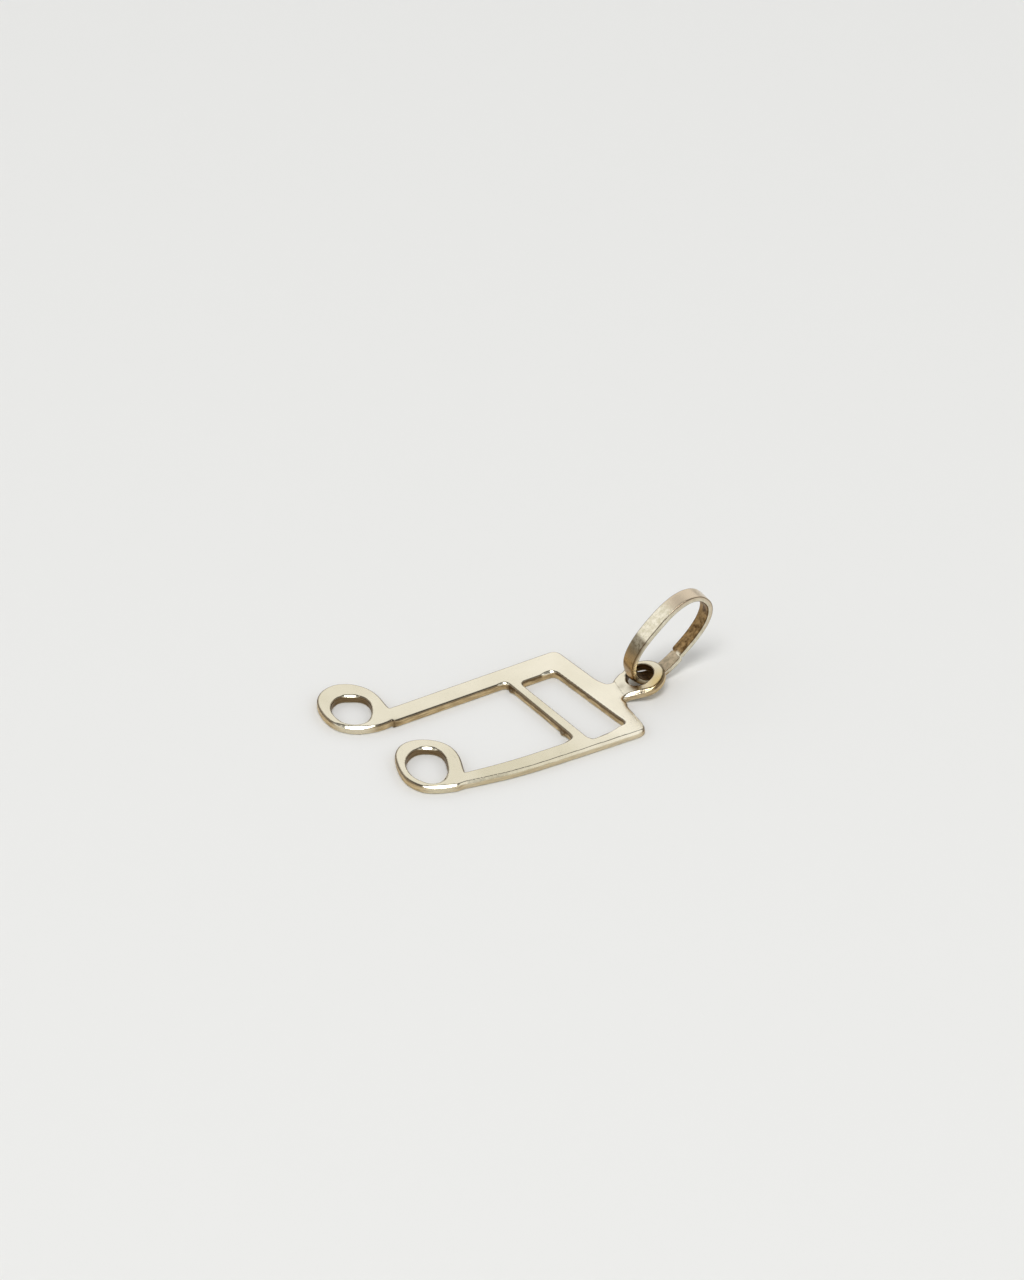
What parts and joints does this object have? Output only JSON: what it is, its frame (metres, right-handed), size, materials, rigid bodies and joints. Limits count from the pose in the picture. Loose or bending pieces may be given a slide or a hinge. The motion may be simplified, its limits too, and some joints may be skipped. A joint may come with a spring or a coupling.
{
  "type": "music note charm",
  "caption": "Flat gold charm in the shape of beamed music notes with open ring heads, a bent-up eyelet and an oval bail of flattened wire that swings in it.",
  "frame": {"origin": "on the flat back face, in the middle of the top beam under the neck of the eyelet", "axes": "+Z out of the front face, +Y up the stems towards the eyelet, +X to the right seen from the front"},
  "size_m": [0.0124, 0.0216, 0.0054],
  "materials": {
    "plate_gold": "polished, lightly scratched pale yellow gold",
    "bail_gold": "polished pale yellow gold, slightly duller than the plate"
  },
  "bodies": {
    "note": {"note_plate": "plate_gold"},
    "bail": {"bail_ring": "bail_gold"}
  },
  "joints": [
    {"name": "bail_swing", "type": "hinge", "parent": "note", "child": "bail", "pos_m": [-0.00035, 0.0034, 0.0018], "axis": [1, 0, 0], "range_deg": [-107, 97]}
  ]
}
